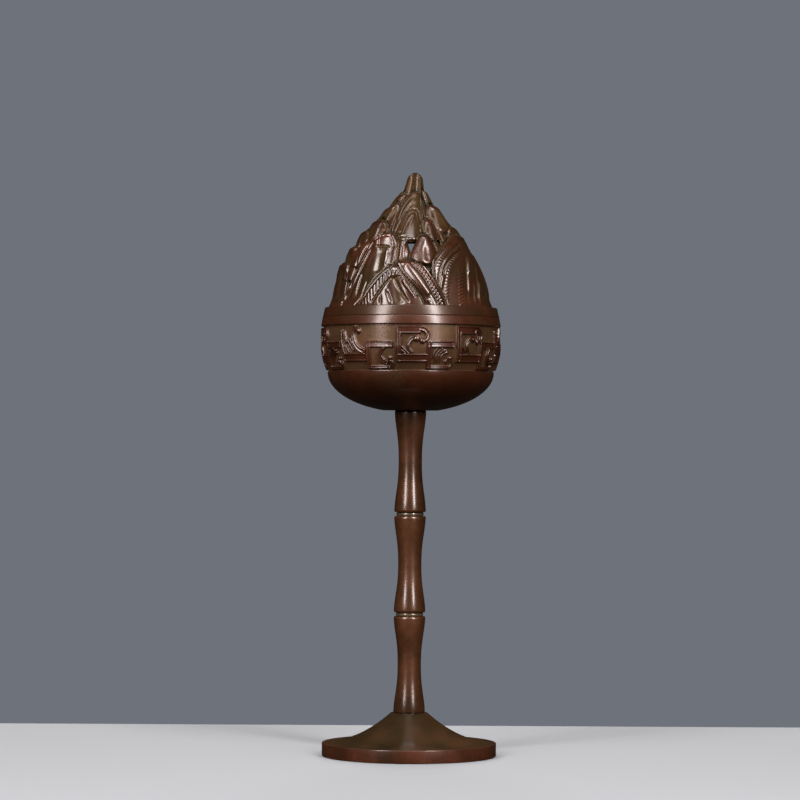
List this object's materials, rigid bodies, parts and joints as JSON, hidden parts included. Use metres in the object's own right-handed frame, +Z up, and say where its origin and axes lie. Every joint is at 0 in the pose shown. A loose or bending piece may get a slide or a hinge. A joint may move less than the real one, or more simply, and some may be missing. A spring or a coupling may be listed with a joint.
{
  "type": "hill censer",
  "caption": "Bronze incense burner on a bamboo-like stem, with a meander band on its bowl and a pierced lid shaped like mountains.",
  "frame": {"origin": "on the table under the middle of the foot", "axes": "+Z up along the stem; the pictured front looks along -Y; +X is to the right of it"},
  "size_m": [0.0788, 0.0788, 0.2552],
  "materials": {
    "bronze": "warm brown patina, softly polished",
    "pale_bronze": "rubbed bright at the edge",
    "dark_bronze": "dark, heat-stained",
    "brass": "turned, dull"
  },
  "bodies": {
    "stand": {"foot": "bronze", "stem_lower": "bronze", "stem_ring_lower": "pale_bronze", "stem_middle": "bronze", "stem_ring_upper": "pale_bronze", "stem_upper": "bronze", "tie_rod": "brass", "foot_washer": "brass", "foot_nut": "brass", "bowl": "bronze", "bowl_washer": "brass", "bowl_nut": "brass"},
    "ash_pan": {"ash_pan": "dark_bronze"},
    "lid": {"lid": "bronze"}
  },
  "joints": [
    {"name": "lid_lift", "type": "slide", "parent": "stand", "child": "lid", "axis": [0, 0, 1], "range_m": [0, 0.08]},
    {"name": "pan_lift", "type": "slide", "parent": "stand", "child": "ash_pan", "axis": [0, 0, 1], "range_m": [0, 0.026]}
  ]
}
